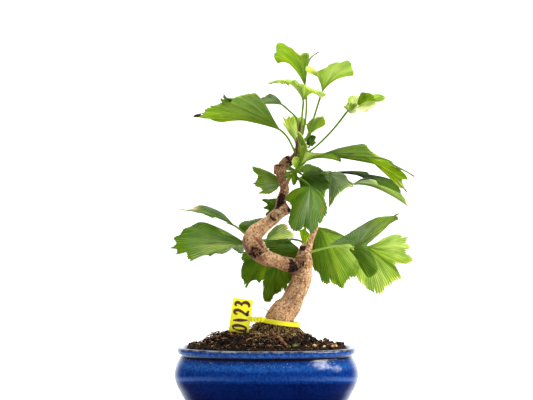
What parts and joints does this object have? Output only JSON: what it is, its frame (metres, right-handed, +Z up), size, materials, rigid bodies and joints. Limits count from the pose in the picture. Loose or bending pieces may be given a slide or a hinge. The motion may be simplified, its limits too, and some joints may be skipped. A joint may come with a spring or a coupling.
{
  "type": "ginkgo bonsai",
  "caption": "Small ginkgo tree with a bent trunk and fan-shaped leaves, growing in an oval blue glazed pot, with a yellow plant tag round the trunk.",
  "frame": {"origin": "on the ground under the middle of the pot, in the plane of its flat foot", "axes": "+Z up, +X along the pot's long side, -Y towards the front of the tree"},
  "size_m": [0.2114, 0.121, 0.3259],
  "materials": {
    "blue_glaze": "glossy cobalt glaze",
    "potting_soil": "crumbly dark peat with bark fibres",
    "bark": "matt tan bark",
    "leaf": "satin green leaf",
    "yellow_plastic": "smooth yellow plastic",
    "mesh_plastic": "dull dark grey plastic"
  },
  "bodies": {
    "root": {"pot": "blue_glaze", "drain_screen_left": "mesh_plastic", "drain_screen_right": "mesh_plastic", "soil": "potting_soil", "wood": "bark", "plant_tag": "yellow_plastic", "leaf_top_left": "leaf", "leaf_top_right": "leaf", "leaf_top_level": "leaf", "leaf_upper_left": "leaf", "leaf_upper_left_back": "leaf", "leaf_upper_cupped": "leaf", "leaf_shoot_left": "leaf", "leaf_shoot_back": "leaf", "leaf_shoot_right": "leaf", "leaf_shoot_small": "leaf", "leaf_shoot_folded": "leaf", "leaf_long_right": "leaf", "leaf_level_right": "leaf", "leaf_middle_dark": "leaf", "leaf_middle_front": "leaf", "leaf_middle_tiny": "leaf", "leaf_folded_right": "leaf", "leaf_far_right": "leaf", "leaf_back_right": "leaf", "leaf_middle_left": "leaf", "leaf_small_left": "leaf", "leaf_low_left_level": "leaf", "leaf_low_left_broad": "leaf", "leaf_bend_back": "leaf", "leaf_hanging_left": "leaf", "leaf_hanging_middle": "leaf", "leaf_crook_pale": "leaf", "leaf_crook_dark": "leaf", "leaf_crook_low": "leaf", "leaf_low_right_fan": "leaf", "leaf_low_right_twin": "leaf", "leaf_low_far_right": "leaf", "leaf_bud_hanging": "leaf", "leaf_back_upper": "leaf", "leaf_back_middle": "leaf"}
  },
  "joints": []
}
